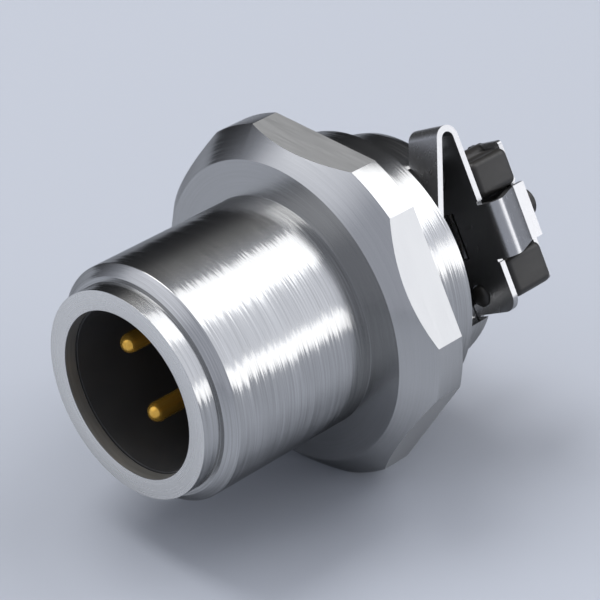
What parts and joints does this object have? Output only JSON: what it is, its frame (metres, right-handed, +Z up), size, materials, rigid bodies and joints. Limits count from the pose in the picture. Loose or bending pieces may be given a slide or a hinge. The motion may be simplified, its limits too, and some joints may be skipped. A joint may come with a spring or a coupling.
{
  "type": "circular sensor connector",
  "caption": "Panel-mounting circular connector: turned metal housing with a hexagonal flange, contact pins in a deep socket and a folded shield bracket at the rear.",
  "frame": {"origin": "on the housing's axis, midway between the mouth face and the end of the rear stud", "axes": "+Y runs along the axis from the mouth to the rear, +Z points up through one flat of the hexagon, +X to the right seen from the mouth"},
  "size_m": [0.0182, 0.0226, 0.017],
  "materials": {
    "turned_steel": "turned, with fine rings round the axis",
    "spring_steel": "rolled sheet, satin",
    "insert_plastic": "black moulded, satin",
    "block_plastic": "dark grey moulded",
    "gold_plating": "gold plated",
    "seal_rubber": "black rubber"
  },
  "bodies": {
    "root": {"shell": "turned_steel", "retainer_ring": "turned_steel", "insert": "insert_plastic", "insert_seal": "seal_rubber", "panel_seal": "seal_rubber", "pin_1": "gold_plating", "pin_2": "gold_plating", "pin_3": "gold_plating", "pin_4": "gold_plating", "shield_bracket": "spring_steel", "bracket_clip": "spring_steel", "back_plate": "spring_steel", "latch_block": "block_plastic"}
  },
  "joints": []
}
